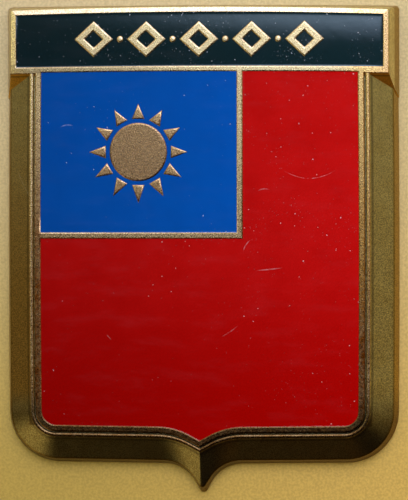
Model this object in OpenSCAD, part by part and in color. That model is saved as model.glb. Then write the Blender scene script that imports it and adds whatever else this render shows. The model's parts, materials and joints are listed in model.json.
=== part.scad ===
// Enamelled car emblem: a struck brass shield with a banner bar, and its grille fixings.
// It stands upright and faces -Y. X runs to the viewer's right and Z up, in millimetres.
// The origin is the middle of the two fixing studs, in the plane of the back rim.

/* [Shield] */
// Width of the enamelled field between its side walls
field_w = 53.7; // [46:0.1:62]
// Height of the enamelled field, from the banner down to its straight lower edge
field_h = 59.2; // [52:0.1:66]
// Height of the field's middle above the middle of the studs
field_mid_z = -1.52; // [-4:0.02:2]
// Radius of the field's lower corners
corner_r = 2.6; // [1.5:0.1:5]
// Radius of the faint swell of the long sides
side_swell_r = 2700; // [1500:50:6000]
// Radius of the faint sag of the lower edge
foot_swell_r = 1350; // [1000:50:6000]

/* [Point at the bottom] */
// Half the width of the point, where the enamel leaves the lower edge
point_half_w = 7.3; // [6.6:0.1:9]
// Depth of the enamel's point below the lower edge
point_h = 2.3; // [1.8:0.1:2.9]
// Steepest slope of the enamel's point
point_slope = 28; // [24:1:34]
// Half the width of the point along the outer edge
toe_half_w = 6.6; // [5.5:0.1:8]
// Depth of the outer point below the lower edge
toe_h = 4.8; // [3.6:0.1:5.4]
// Steepest slope of the outer point
toe_slope = 62; // [56:1:66]
// Radius that rounds the outer point
toe_r = 0.75; // [0.4:0.05:1]

/* [Border] */
// Width of the raised wall around the field
rim_w = 1.1; // [0.7:0.05:1.6]
// Width of the groove outside that wall
groove_w = 0.2; // [0.1:0.05:0.4]
// Width of the bead line
bead_w = 0.6; // [0.4:0.05:1]
// Width of the sloped band
band_w = 3.85; // [2.8:0.05:5]
// Drop of the band from the bead to its outer edge
band_drop = 2.2; // [1.4:0.05:2.4]
// How much the outer wall spreads from the band down to the back rim
wall_draft = 0.5; // [0.1:0.05:0.6]

/* [Banner] */
// Width of the banner's front
banner_w = 63.85; // [60:0.05:64.8]
// Height of the banner's front at its middle
banner_h = 10.85; // [9.6:0.05:14]
// Width of the banner's rim
banner_rim_w = 1; // [0.7:0.05:1.4]
// Radius of the banner's front corners
banner_corner_r = 0.7; // [0.4:0.05:1]
// Radius of the faint arch of the banner's top edge
banner_arch_r = 960; // [800:20:4000]
// Radius of the faint arch of its lower edge
banner_foot_r = 2250; // [1500:50:6000]
// Radius of the faint arch of the back rim over the banner
back_arch_r = 2400; // [1500:50:6000]
// How much the banner's top wall spreads down to the back rim
top_draft = 0.25; // [0.1:0.05:0.6]
// Run of the banner's lower wall, for each millimetre that it drops
banner_skirt = 1.05; // [0.8:0.05:1.4]

/* [Relief] */
// Depth of the emblem, from the back rim to the front of its raised walls
front_d = 4.5; // [4.2:0.1:5.2]
// Depth of the enamel cells
cell_d = 0.7; // [0.5:0.05:0.9]
// Distance of the enamel's face below the raised walls
enamel_low = 0.08; // [0.04:0.01:0.2]
// Gap between the enamel and the walls of its cell
enamel_gap = 0.02; // [0.01:0.005:0.04]
// Depth of the groove
groove_d = 0.55; // [0.3:0.05:0.7]
// Distance of the bead's crest below the raised walls
bead_low = 0.1; // [0.05:0.05:0.2]
// Height of the bead over the top of the band
bead_h = 0.3; // [0.15:0.05:0.35]

/* [Canton] */
// Width of the upper left cell
canton_w = 33.15; // [28:0.05:38]
// Height of the upper left cell
canton_h = 26.8; // [22:0.1:30]
// Width of the walls between the cells
cell_wall_w = 1.1; // [0.7:0.05:1.5]
// Radius of the sun's disc
sun_r = 4.85; // [4:0.05:5.2]
// Number of rays
ray_count = 12; // [8:1:14]
// Distance of a ray's foot from the sun's centre
ray_foot_r = 5.52; // [5.4:0.02:6]
// Length of a ray
ray_l = 2.55; // [2:0.05:3]
// Half the width of a ray's foot
ray_half_w = 1.04; // [0.8:0.02:1.1]

/* [Ornament on the banner] */
// Number of lozenges in the row
lozenge_count = 5; // [3:1:5]
// Distance from one lozenge to the next
lozenge_pitch = 8.9; // [8.3:0.1:10]
// Width of a lozenge
lozenge_w = 6.6; // [5.5:0.1:7]
// Height of a lozenge
lozenge_h = 6; // [5.5:0.1:6.4]
// Width of the lines
line_w = 1.2; // [0.9:0.05:1.35]
// Radius of the pellets
pellet_r = 0.55; // [0.4:0.05:0.6]

/* [Hollow back] */
// Thickness of the outer walls at the back rim
wall_t = 1.35; // [1:0.05:1.6]
// Thickness of the metal under the enamel
plate_t = 1; // [0.8:0.05:1.1]
// Depth of the straight walls of the hollow, below the back rim
straight_d = 1.2; // [0.8:0.05:1.6]
// How far the hollow's floor stays inside the bead
floor_inset = 0.3; // [0.1:0.05:1]

/* [Fixing studs] */
// Distance between the studs
stud_pitch = 45; // [38:0.5:50]
// Radius of a stud's plain shank
stud_r = 2; // [1.9:0.05:2.1]
// Pitch of the screw thread
thread_pitch = 0.7; // [0.5:0.05:0.8]
// Radius of a stud's foot
foot_r = 4; // [3.5:0.1:5]
// Thickness of a stud's foot
foot_t = 0.6; // [0.4:0.05:0.8]
// Width of the solder around the foot
solder_w = 0.9; // [0.5:0.05:1.2]
// Length of thread that the nut can run along, past its tight place
nut_run = 3.4; // [2:0.1:6]
// Length of stud past the nut, when the nut is run out
stud_spare = 1.2; // [0.5:0.1:3]
// Length of the chamfer at the stud's end
stud_chamfer = 0.4; // [0.2:0.05:0.6]

/* [Clamp] */
// Depth of the gap for the grille, from the back rim to the pads
grille_gap = 6; // [5:0.5:9]
// Width of the clamp bar
bar_w = 12; // [10:0.5:16]
// Thickness of the clamp bar
bar_t = 1.5; // [1:0.1:2.5]
// Length of the bar past each stud
bar_end = 8; // [6:0.5:10]
// Clearance around a stud in the bar
bar_clear = 0.3; // [0.2:0.05:0.5]
// Extra length of the bar's slot
slot_extra = 4; // [2:0.5:6]
// Thickness of the rubber pads
pad_t = 1.5; // [1:0.1:2.5]
// Length of a pad
pad_l = 11; // [8:0.5:12]
// Distance from the middle of a pad to its stud
pad_from_stud = 10.5; // [10:0.1:11]

/* [Nuts and washers] */
// Width across the flats of a nut
nut_af = 7; // [6.5:0.1:8]
// Height of a nut
nut_h = 3.2; // [2.6:0.1:4]
// Outer radius of a flat washer
washer_r = 4.5; // [4:0.1:5]
// Thickness of a flat washer
washer_t = 0.8; // [0.6:0.05:1.2]
// Radial width of a spring washer's wire
spring_w = 1.4; // [1:0.05:1.6]
// Thickness of a spring washer
spring_t = 1; // [0.8:0.05:1.2]
// Width of the spring washer's split
spring_split = 0.5; // [0.3:0.05:0.8]
// Clearance of a washer on the stud
washer_clear = 0.15; // [0.1:0.05:0.25]
// Clearance of a nut on the thread
nut_clear = 0.05; // [0.03:0.01:0.08]

/* [Hidden] */
// A cut runs this far past the face that it opens
past = 1;
// Steps in a round corner, in the swell of a side and in one flank of the point
corner_steps = 12;
swell_steps = 6;
flank_steps = 12;
toe_steps = 8;
round_fn = 96;
// Share of a raised line's width that each of its leaning sides takes
lean_share = 0.25;
// Radius of the enamel's tip, as a share of the outer tip's
inner_tip_share = 0.2;
// Smallest round that a banner's corner keeps
least_r = 0.05;
// Depth of the thread's middle under its crest, as a share of the pitch
thread_share = 0.325;
// Share of the solder's width and of the foot's thickness at which its face bends
solder_bend = [0.33, 0.5];

// Levels along Y: the front is the lowest value
front_y = -front_d;
cell_y = front_y + cell_d;
enamel_y = front_y + enamel_low;
hollow_y = cell_y + plate_t;
groove_y = front_y + groove_d;
bead_y = front_y + bead_low;
band_top_y = bead_y + bead_h;
band_y = band_top_y + band_drop;

// Distances outwards from the edge of the enamel
rim_out = rim_w;
bead_in = rim_out + groove_w;
bead_out = bead_in + bead_w;
band_out = bead_out + band_w;
back_out = band_out + wall_draft;

// Heights along Z
field_top_z = field_mid_z + field_h / 2;
field_foot_z = field_mid_z - field_h / 2;
banner_top_z = field_top_z + banner_h;
banner_mid_z = field_top_z + banner_h / 2;
back_top_z = banner_top_z + top_draft;
canton_right_x = canton_w - field_w / 2;
canton_foot_z = field_top_z - canton_h;
sun_x = canton_right_x - canton_w / 2;
sun_z = canton_foot_z + canton_h / 2;

// Radius of the thread at its middle depth, where the model's plain cylinder lies
thread_r = stud_r - thread_share * thread_pitch;
bore_r = bar_clear + stud_r;
washer_bore_r = washer_clear + stud_r;
foot_y = hollow_y + foot_t;
pad_y = grille_gap;
bar_y = pad_y + pad_t;
washer_y = bar_y + bar_t;
spring_y = washer_y + washer_t;
nut_y = spring_y + spring_t;
stud_end_y = nut_y + nut_h + nut_run + stud_spare;
// The plain shank ends this far before the pads
shank_short = 0.4;
shank_end_y = grille_gap - shank_short;

// Share of the way from the enamel's point to the outer point, for an outline d outside the enamel
function toe_share(d) = max(0, min(1, (d - bead_out) / (back_out - bead_out)));
function mixed(a, b, t) = a + (b - a) * t;

// Half width of a side that lies half_w out at its widest, at height z
function swell(half_w, z) = half_w - pow(z - field_mid_z, 2) / (2 * side_swell_r);

// Right half of the point's outline, from the lower edge down to the tip.
// A hollow arc leads into a straight flank, and a small round ends it.
function point_half(half_w, depth, slope, tip_r, z) =
    let(
        // Virtual tip: where the straight flanks would meet
        tip_z = -depth - tip_r * (1 / cos(slope) - 1),
        flank = (half_w * tan(slope / 2) + tip_z) / (tan(slope / 2) * cos(slope) - sin(slope)),
        arc_r = (half_w - flank * cos(slope)) / sin(slope)
    )
    concat(
        [for (i = [0 : flank_steps])
            let(t = slope * i / flank_steps)
            [half_w - arc_r * sin(t), z - arc_r * (1 - cos(t))]],
        [for (i = [0 : toe_steps])
            let(t = slope * (1 - i / toe_steps))
            [tip_r * sin(t), z + tip_z + tip_r / cos(slope) - tip_r * cos(t)]]
    );

// Right half of the shield's outline, d outside the enamel, from top_z down to the tip
function shield_half(d, top_z) =
    let(
        share = toe_share(d),
        r = corner_r + d,
        half_w = field_w / 2 + d,
        foot_z = field_foot_z - d,
        corner_z = foot_z + r,
        side_x = swell(half_w, corner_z),
        tip = point_half(mixed(point_half_w, toe_half_w, share), mixed(point_h, toe_h, share),
            mixed(point_slope, toe_slope, share), mixed(inner_tip_share, 1, share) * toe_r, foot_z),
        lift = pow(side_x - r, 2) / (2 * foot_swell_r)
    )
    concat(
        [for (i = [0 : swell_steps - 1])
            let(z = mixed(top_z, corner_z, i / swell_steps))
            [swell(half_w, z), z]],
        [for (i = [0 : corner_steps])
            let(t = 90 * i / corner_steps)
            [side_x - r + r * cos(t), corner_z + lift * i / corner_steps - r * sin(t)]],
        tip
    );

function mirrored(points) = [for (p = points) [-p[0], p[1]]];
function reversed(points) = [for (i = [len(points) - 1 : -1 : 0]) points[i]];
// The whole outline from its right half, with the shared tip point once
function whole(half) = concat(half, reversed(mirrored([for (i = [0 : len(half) - 2]) half[i]])));
function shield(d, top_z = field_top_z) = whole(shield_half(d, top_z));

// Height lost at x by an arch of radius r
function arch(x, r) = pow(x, 2) / (2 * r);

// The banner's outline: out wider and up higher than its front, and drop lower at its skirt
function banner(out, up, drop, arch_r) =
    let(
        r = max(banner_corner_r + out, least_r),
        half_w = banner_w / 2 + out,
        top_z = banner_top_z + up,
        foot_z = field_top_z - drop,
        top_x = half_w - r,
        edge_z = top_z - arch(top_x, arch_r)
    )
    concat(
        [for (i = [-swell_steps : swell_steps - 1])
            let(x = top_x * i / swell_steps)
            [x, top_z - arch(x, arch_r)]],
        [for (i = [0 : corner_steps])
            let(t = 90 * i / corner_steps)
            [top_x + r * sin(t), edge_z - r * (1 - cos(t))]],
        [for (i = [swell_steps : -1 : -swell_steps])
            let(x = half_w * i / swell_steps)
            [x, foot_z - arch(x, banner_foot_r)]],
        [for (i = [0 : corner_steps - 1])
            let(t = 90 * (1 - i / corner_steps))
            [-top_x - r * sin(t), edge_z - r * (1 - cos(t))]]
    );

// The outline of the field below the banner, inset by g
function field(g) =
    let(
        top_z = field_top_z - g,
        top_x = swell(field_w / 2 - g, top_z)
    )
    concat(
        shield(-g, top_z - arch(top_x, banner_foot_r)),
        [for (i = [1 - swell_steps : swell_steps - 1])
            let(x = top_x * i / swell_steps)
            [x, top_z - arch(x, banner_foot_r)]]
    );

// A closed solid through outlines with as many points each, one at each level of ys
module lofted(outlines, ys) {
    n = len(outlines[0]);
    last = len(outlines) - 1;
    points = [for (k = [0 : last]) for (p = outlines[k]) [p[0], ys[k], p[1]]];
    sides = [for (k = [0 : last - 1]) for (i = [0 : n - 1])
        [k * n + i, k * n + (i + 1) % n, (k + 1) * n + (i + 1) % n, (k + 1) * n + i]];
    polyhedron(points, concat([[for (i = [n - 1 : -1 : 0]) i]], sides,
        [[for (i = [0 : n - 1]) last * n + i]]), convexity = 6);
}

// A flat piece between two levels of Y, from its outline as seen from the front
module slab(from_y, to_y) {
    translate([0, to_y, 0]) rotate([90, 0, 0]) linear_extrude(to_y - from_y, convexity = 6) children();
}

// A round piece between two levels of Y
module round_slab(r, from_y, to_y) {
    translate([0, to_y, 0]) rotate([90, 0, 0]) cylinder(h = to_y - from_y, r = r, $fn = round_fn);
}

// Puts its children at one stud: side is 1 for the upper and -1 for the lower
module at_stud(side) {
    translate([0, 0, side * stud_pitch / 2]) children();
}

// Sun: a disc inside separate pointed rays, grown by g all round
module sun_area(g = 0) {
    half_angle = atan(ray_half_w / ray_l);
    tip_r = ray_foot_r + ray_l + g / sin(half_angle);
    foot = ray_foot_r - g;
    translate([sun_x, sun_z]) {
        circle(r = sun_r + g, $fn = round_fn);
        for (i = [0 : ray_count - 1])
            rotate(90 + 360 / ray_count * i)
                polygon([[foot, -(tip_r - foot) * tan(half_angle)], [tip_r, 0],
                    [foot, (tip_r - foot) * tan(half_angle)]]);
    }
}

// A lozenge grown by g all round
module lozenge(w, h, g = 0) {
    k = g * norm([w, h]);
    polygon([[w / 2 + k / h, 0], [0, h / 2 + k / w], [-w / 2 - k / h, 0], [0, -h / 2 - k / w]]);
}

// The row of raised figures on the banner, grown by g all round
module ornament_area(g = 0) {
    span = (lozenge_count - 1) * lozenge_pitch;
    inner_w = lozenge_w - line_w * norm([lozenge_w, lozenge_h]) / lozenge_h * 2;
    for (i = [0 : lozenge_count - 1])
        translate([i * lozenge_pitch - span / 2, banner_mid_z])
            difference() {
                lozenge(lozenge_w, lozenge_h, g);
                lozenge(inner_w, inner_w * lozenge_h / lozenge_w, -g);
            }
    for (i = [0 : lozenge_count - 2])
        translate([(i + 0.5) * lozenge_pitch - span / 2, banner_mid_z])
            circle(r = pellet_r + g, $fn = round_fn);
}

// The banner's cell, inset by g
module banner_area(g = 0) {
    inner = banner_rim_w + g;
    polygon(banner(-inner, -inner, -inner, banner_arch_r));
}

// The upper left cell, inset by g
module canton_area(g = 0) {
    translate([-field_w, canton_foot_z + g])
        square([field_w + canton_right_x - g, canton_h]);
}

// The field below the banner, inset by g
module field_area(g = 0) {
    polygon(field(g));
}

// The walled quarter that the red field leaves out, grown by g
module canton_block(g = 0) {
    translate([-field_w, canton_foot_z - cell_wall_w - g])
        square([field_w + canton_right_x + cell_wall_w + g, canton_h + field_w]);
}

// The shield's sloped border and its raised walls
module shield_relief() {
    bead_lean = lean_share * bead_w;
    distances = [back_out, band_out, bead_out, bead_out - bead_lean, bead_in + bead_lean, bead_in,
        rim_out, rim_out - lean_share * groove_w];
    lofted([for (d = distances) shield(d, banner_mid_z)],
        [0, band_y, band_top_y, bead_y, bead_y, groove_y, groove_y, front_y]);
}

// The banner's block, with its drafted ends and sloped skirt
module banner_relief() {
    band_spread = field_w / 2 + band_out - banner_w / 2;
    drop = banner_skirt * (band_y - front_y);
    lofted(
        [banner(band_spread + wall_draft, top_draft, drop + banner_skirt * wall_t, back_arch_r),
         banner(band_spread, top_draft / 2, drop, (banner_arch_r + back_arch_r) / 2),
         banner(0, 0, 0, banner_arch_r)],
        [0, band_y, front_y]
    );
}

// The hollow in the back, down to the plate under the enamel
module back_hollow() {
    top_z = back_top_z - wall_t;
    floor_d = bead_out - floor_inset;
    side_d = back_out - wall_t;
    lofted(
        [shield(side_d, top_z), shield(side_d, top_z), shield(side_d - wall_draft, top_z),
         shield(floor_d, top_z - (side_d - floor_d))],
        [past, 0, -straight_d, hollow_y]
    );
}

module struck_body() color([0.72, 0.58, 0.32]) {
    difference() {
        union() {
            shield_relief();
            banner_relief();
        }
        back_hollow();
        slab(front_y - past, cell_y) difference() {
            banner_area();
            ornament_area();
        }
        slab(front_y - past, cell_y) difference() {
            intersection() {
                canton_area();
                field_area();
            }
            sun_area();
        }
        slab(front_y - past, cell_y) difference() {
            field_area();
            canton_block();
        }
    }
}

module banner_enamel() color([0.05, 0.08, 0.08]) {
    slab(enamel_y, cell_y) difference() {
        banner_area(enamel_gap);
        ornament_area(enamel_gap);
    }
}

module canton_enamel() color([0.05, 0.28, 0.6]) {
    slab(enamel_y, cell_y) difference() {
        intersection() {
            canton_area(enamel_gap);
            field_area(enamel_gap);
        }
        sun_area(enamel_gap);
    }
}

module field_enamel() color([0.62, 0.06, 0.07]) {
    slab(enamel_y, cell_y) difference() {
        field_area(enamel_gap);
        canton_block(enamel_gap);
    }
}

// A stud: round foot, plain shank, threaded end with a chamfer
module stud(side) color([0.78, 0.66, 0.36]) at_stud(side) {
    round_slab(foot_r, hollow_y, foot_y);
    round_slab(stud_r, foot_y, shank_end_y);
    round_slab(thread_r, shank_end_y, stud_end_y - stud_chamfer);
    translate([0, stud_end_y, 0]) rotate([90, 0, 0])
        cylinder(h = stud_chamfer, r1 = thread_r - stud_chamfer, r2 = thread_r, $fn = round_fn);
}
module upper_stud() stud(1);
module lower_stud() stud(-1);

// The solder that joins a foot to the floor of the hollow
module solder(side) color([0.6, 0.6, 0.58]) at_stud(side) {
    bend = [foot_r + solder_bend[0] * solder_w, solder_bend[1] * foot_t];
    translate([0, hollow_y, 0]) rotate([-90, 0, 0]) rotate_extrude($fn = round_fn)
        polygon([[foot_r, 0], [foot_r + solder_w, 0], bend, [foot_r, foot_t]]);
}
module upper_solder() solder(1);
module lower_solder() solder(-1);

// Strap with round ends, a hole for the upper stud and a slot for the lower one
module clamp_bar() color([0.62, 0.63, 0.62]) {
    half_l = stud_pitch / 2 + bar_end - bar_w / 2;
    difference() {
        slab(bar_y, washer_y) {
            translate([-bar_w / 2, -half_l]) square([bar_w, 2 * half_l]);
            for (side = [-1, 1]) translate([0, side * half_l]) circle(d = bar_w, $fn = round_fn);
        }
        at_stud(1) round_slab(bore_r, bar_y - past, washer_y + past);
        at_stud(-1) {
            for (side = [-1, 1]) translate([0, 0, side * slot_extra / 2])
                round_slab(bore_r, bar_y - past, washer_y + past);
            slab(bar_y - past, washer_y + past)
                translate([-bore_r, -slot_extra / 2]) square([2 * bore_r, slot_extra]);
        }
    }
}

// A rubber pad on the strap's front face
module pad(side) color([0.1, 0.1, 0.1]) {
    slab(pad_y, bar_y) translate([-bar_w / 2, side * (stud_pitch / 2 - pad_from_stud) - pad_l / 2])
        square([bar_w, pad_l]);
}
module upper_pad() pad(1);
module lower_pad() pad(-1);

module flat_washer(side) color([0.66, 0.66, 0.64]) at_stud(side) {
    difference() {
        round_slab(washer_r, washer_y, spring_y);
        round_slab(washer_bore_r, washer_y - past, spring_y + past);
    }
}
module upper_flat_washer() flat_washer(1);
module lower_flat_washer() flat_washer(-1);

// A ring of square wire, split on one side
module spring_washer(side) color([0.5, 0.5, 0.5]) at_stud(side) {
    difference() {
        round_slab(washer_bore_r + spring_w, spring_y, nut_y);
        round_slab(washer_bore_r, spring_y - past, nut_y + past);
        translate([washer_bore_r / 2, spring_y - past, -spring_split / 2])
            cube([washer_bore_r + spring_w, spring_t + 2 * past, spring_split]);
    }
}
module upper_spring_washer() spring_washer(1);
module lower_spring_washer() spring_washer(-1);

// A hexagon nut whose corners are chamfered on both faces
module nut(side) color([0.76, 0.62, 0.34]) at_stud(side) {
    corner = nut_af / 2 / cos(30);
    bevel = corner - nut_af / 2;
    translate([0, nut_y, 0]) rotate([-90, 0, 0]) difference() {
        intersection() {
            cylinder(h = nut_h, r = corner, $fn = 6);
            rotate_extrude($fn = round_fn)
                polygon([[0, 0], [nut_af / 2, 0], [corner, bevel / 2], [corner, nut_h - bevel / 2],
                    [nut_af / 2, nut_h], [0, nut_h]]);
        }
        translate([0, 0, -past]) cylinder(h = nut_h + 2 * past, r = thread_r + nut_clear, $fn = round_fn);
    }
}
module upper_nut() nut(1);
module lower_nut() nut(-1);

struck_body();
banner_enamel();
canton_enamel();
field_enamel();
upper_stud();
lower_stud();
upper_solder();
lower_solder();
clamp_bar();
upper_pad();
lower_pad();
upper_flat_washer();
lower_flat_washer();
upper_spring_washer();
lower_spring_washer();
upper_nut();
lower_nut();
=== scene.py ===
# %% [markdown]
# # An enamelled car emblem
# A struck brass shield carries black, blue and red enamel in sunk cells, under a raised banner bar. On its
# back are two threaded studs, and a strap with rubber pads that clamps it to a car's grille. This lesson
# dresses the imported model: it loads the model as a fixed frame, builds finer surfaces over it with numpy,
# and gives each its finish.
#
# The frame is upright. X runs to the viewer's right, Z up, and the face looks along -Y. Shapes are worked
# out in millimetres, as on a drawing, and turned into metres when a mesh is made.

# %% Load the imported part
import json
import math

import bmesh
import bpy
import numpy as np
from mathutils import Matrix, Vector


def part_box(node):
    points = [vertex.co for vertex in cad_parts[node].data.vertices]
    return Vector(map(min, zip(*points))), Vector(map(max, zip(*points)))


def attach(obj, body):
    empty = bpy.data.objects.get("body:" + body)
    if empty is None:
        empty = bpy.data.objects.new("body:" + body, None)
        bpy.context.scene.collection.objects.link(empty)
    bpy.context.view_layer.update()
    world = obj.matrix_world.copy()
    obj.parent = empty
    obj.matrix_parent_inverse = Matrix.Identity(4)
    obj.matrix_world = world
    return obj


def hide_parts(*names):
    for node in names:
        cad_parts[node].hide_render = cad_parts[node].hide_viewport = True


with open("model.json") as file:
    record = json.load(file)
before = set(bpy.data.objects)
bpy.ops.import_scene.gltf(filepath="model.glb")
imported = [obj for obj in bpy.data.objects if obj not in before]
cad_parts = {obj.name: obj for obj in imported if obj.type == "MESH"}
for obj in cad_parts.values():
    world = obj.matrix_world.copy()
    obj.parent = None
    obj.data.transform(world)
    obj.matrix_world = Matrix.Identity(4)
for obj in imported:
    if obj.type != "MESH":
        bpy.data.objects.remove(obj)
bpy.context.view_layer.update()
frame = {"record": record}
MM = 0.001

# %% [markdown]
# ## Sizes
# Depths and places along the studs are read from the frame, because each of them is the side of some node's
# box. The outline's radii and the widths of its lines can't be read from a box, so they are written here as
# on a drawing.

# %% Levels along Y, read from the frame
def box_mm(node):
    """Lowest and highest corner of a node, in millimetres."""
    low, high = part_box(node)
    return np.array(low) / MM, np.array(high) / MM


FRONT = box_mm("struck_body")[0][1]
GLAZE_FACE, CELL_FLOOR = box_mm("field_enamel")[0][1], box_mm("field_enamel")[1][1]
HOLLOW_FLOOR, STUD_END = box_mm("upper_stud")[0][1], box_mm("upper_stud")[1][1]
STUD_Z = (box_mm("upper_stud")[0][2] + box_mm("upper_stud")[1][2]) / 2
print(f"front {FRONT:.2f}, cell floor {CELL_FLOOR:.2f}, hollow floor {HOLLOW_FLOOR:.2f}")

# %% Widths and radii of the front
FIELD_W, FIELD_H, FIELD_MID_Z = 53.7, 59.2, -1.52
CORNER_R, SIDE_SWELL_R, FOOT_SWELL_R = 2.6, 2700, 1350
POINT_HALF_W, POINT_H, POINT_SLOPE = 7.3, 2.3, math.radians(28)
TOE_HALF_W, TOE_H, TOE_SLOPE, TOE_R, INNER_TIP_SHARE = 6.6, 4.8, math.radians(62), 0.75, 0.2
RIM_OUT, BEAD_IN, BEAD_OUT, BAND_OUT, BACK_OUT = 1.1, 1.27, 2.05, 5.75, 6.25
BANNER_W, BANNER_H, BANNER_RIM_W, BANNER_CORNER_R = 63.85, 10.85, 1.0, 0.4
BANNER_ARCH_R, BANNER_FOOT_R, TOP_DRAFT = 960, 2250, 0.25
CANTON_W, CANTON_H, CELL_WALL_W = 33.15, 26.8, 1.1
print(f"enamelled field {FIELD_W} x {FIELD_H} mm, banner {BANNER_W} x {BANNER_H} mm")

# %% Heights of the front, worked out from those
FIELD_TOP = FIELD_MID_Z + FIELD_H / 2
FIELD_FOOT = FIELD_MID_Z - FIELD_H / 2
BANNER_TOP, BANNER_MID = FIELD_TOP + BANNER_H, FIELD_TOP + BANNER_H / 2
BACK_TOP = BANNER_TOP + TOP_DRAFT
CANTON_RIGHT, CANTON_FOOT = CANTON_W - FIELD_W / 2, FIELD_TOP - CANTON_H
SUN_X, SUN_Z = CANTON_RIGHT - CANTON_W / 2, CANTON_FOOT + CANTON_H / 2
print(f"banner top {BANNER_TOP:.2f}, field foot {FIELD_FOOT:.2f}, sun at {SUN_X:.2f}, {SUN_Z:.2f}")

# %% [markdown]
# ## Camera
# The photograph is taken from a little to the right with a long lens, so upright edges stay almost
# parallel. The camera's place was solved from the picture: 9.4 degrees to the right, just above level, and
# 1275 mm away.

# %% The camera
CAMERA_TURN, CAMERA_LIFT, CAMERA_ROLL = math.radians(9.4), math.radians(0.74), math.radians(-0.1)
CAMERA_AWAY, PIXELS_PER_MM, PHOTO_H = 1275, 6.0, 500
AIM = np.array([0.83, FRONT, -1.67])


def toward(turn, lift):
    """Unit vector that points from the face to where azimuth turn and elevation lift are."""
    return np.array([math.sin(turn) * math.cos(lift), -math.cos(turn) * math.cos(lift), math.sin(lift)])


def in_scene(name, data):
    """A new object in the scene."""
    made = bpy.data.objects.new(name, data)
    bpy.context.scene.collection.objects.link(made)
    return made


camera = in_scene("camera", bpy.data.cameras.new("camera"))
camera.location = (np.array([0, FRONT, 0]) + CAMERA_AWAY * toward(CAMERA_TURN, CAMERA_LIFT)) * MM
look = Vector(AIM * MM) - camera.location
camera.rotation_mode = "QUATERNION"
roll = Matrix.Rotation(CAMERA_ROLL, 3, "Z").to_quaternion()
camera.rotation_quaternion = look.to_track_quat("-Z", "Y") @ roll
camera.data.sensor_width = 36
camera.data.lens = PIXELS_PER_MM * CAMERA_AWAY / PHOTO_H * camera.data.sensor_width
camera.data.clip_end = 20
bpy.context.scene.camera = camera
bpy.context.scene.view_settings.view_transform = "Standard"
print(f"lens {camera.data.lens:.0f} mm")

# %% [markdown]
# ## How surfaces are made
# Almost every piece here is a skin through rings of points: an outline carried from one depth to the next.
# Numpy works out all rings as one array, and the faces follow from the array's shape. The alternative,
# extruding and bevelling by hand, gives no control over how an edge is worn round.

# %% A skin through rings of points
def ring_quads(count, n, closed=False):
    """Faces between rings of n points: ring k's points i and i + 1 and ring k + 1's same points make a
    quad. With closed the last ring joins the first."""
    k = np.arange(count if closed else count - 1)[:, None]
    here, there, above = np.arange(n)[None, :], (np.arange(n)[None, :] + 1) % n, (k + 1) % count
    quads = np.stack([k * n + here, k * n + there, above * n + there, above * n + here], axis=-1)
    return quads.reshape(-1, 4)


def skin(rings, closed=False):
    """Points and faces of a closed surface. Both end rings are filled, or with closed the last ring joins
    the first. The faces point outwards: they are turned round if the enclosed volume, the sum of a . (b x
    c) over their triangles, comes out negative."""
    rings = np.asarray(rings, float)
    count, n = rings.shape[:2]
    points = rings.reshape(-1, 3)
    quads = ring_quads(count, n, closed)
    ends = [] if closed else [np.arange(n)[::-1], np.arange(n) + (count - 1) * n]
    a, b, c, d = points[quads].transpose(1, 0, 2)
    volume = np.sum(a * np.cross(b, c)) + np.sum(a * np.cross(c, d))
    for end in ends:
        p = points[end]
        volume += np.sum(p[0] * np.cross(p[1:-1], p[2:]).sum(axis=0))
    turn = 1 if volume > 0 else -1
    return points, [face[::turn] for face in quads.tolist() + [end.tolist() for end in ends]]


# %% Objects from skins
def gathered(shells):
    """Several separate skins as one."""
    points, faces, start = [], [], 0
    for shell_points, shell_faces in shells:
        points.append(shell_points)
        faces += [[v + start for v in face] for face in shell_faces]
        start += len(shell_points)
    return np.concatenate(points), faces


def add_object(name, shell):
    """A new object at the origin whose mesh is that skin, in metres."""
    mesh = bpy.data.meshes.new(name)
    mesh.from_pydata((shell[0] * MM).tolist(), [], shell[1])
    return in_scene(name, mesh)


# %% Joining, cutting and smoothing
def cut(made, steps):
    """Joins and cuts skins in order with the Boolean modifier, and keeps the result as the object's
    mesh."""
    helpers = []
    for operation, shell in steps:
        helpers.append(add_object("helper", shell))
        modifier = made.modifiers.new(operation, "BOOLEAN")
        modifier.operation, modifier.object, modifier.solver = operation, helpers[-1], "MANIFOLD"
    bpy.context.view_layer.update()
    mesh = bpy.data.meshes.new_from_object(made.evaluated_get(bpy.context.evaluated_depsgraph_get()))
    mesh.name = made.name
    made.modifiers.clear()
    made.data = mesh
    for helper in helpers:
        bpy.data.objects.remove(helper)
    return made


def smoothed(made, crease=34):
    """Shades an object smooth, except along edges that turn more than crease degrees, and lets big flat
    faces set the normals, so that flats stay flat beside rounded edges."""
    mesh = bmesh.new()
    mesh.from_mesh(made.data)
    for face in mesh.faces:
        face.smooth = True
    for edge in mesh.edges:
        edge.smooth = edge.calc_face_angle(math.pi) < math.radians(crease)
    mesh.to_mesh(made.data)
    mesh.free()
    modifier = made.modifiers.new("flat faces lead", "WEIGHTED_NORMAL")
    modifier.keep_sharp = True
    print(f"{made.name}: {len(made.data.polygons)} faces")
    return made


# %% Standing for a node
def dressed(made, cad_node, slot, finish):
    """Puts an object in a node's place: on its body, with its finish. Its slot is not used."""
    made.data.materials.clear()
    made.data.materials.append(finish)
    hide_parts(cad_node)
    body = next(body for body, nodes in frame["record"]["behaviour"]["bodies"].items() if cad_node in nodes)
    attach(made, body)
    print(f"{made.name} stands for {cad_node} and rides on {body}")
    return made


# %% [markdown]
# ## Outlines
# The emblem is one family of outlines. Each is the edge of the enamel moved outwards by d: nearly straight
# sides, round lower corners, and a point whose flanks are hollow arcs. The outer point is slimmer and
# deeper than the enamel's, so its slope and depth change with d.

# %% Straight sides and the point at the bottom
def mixed(a, b, share):
    return a + (b - a) * share


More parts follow.
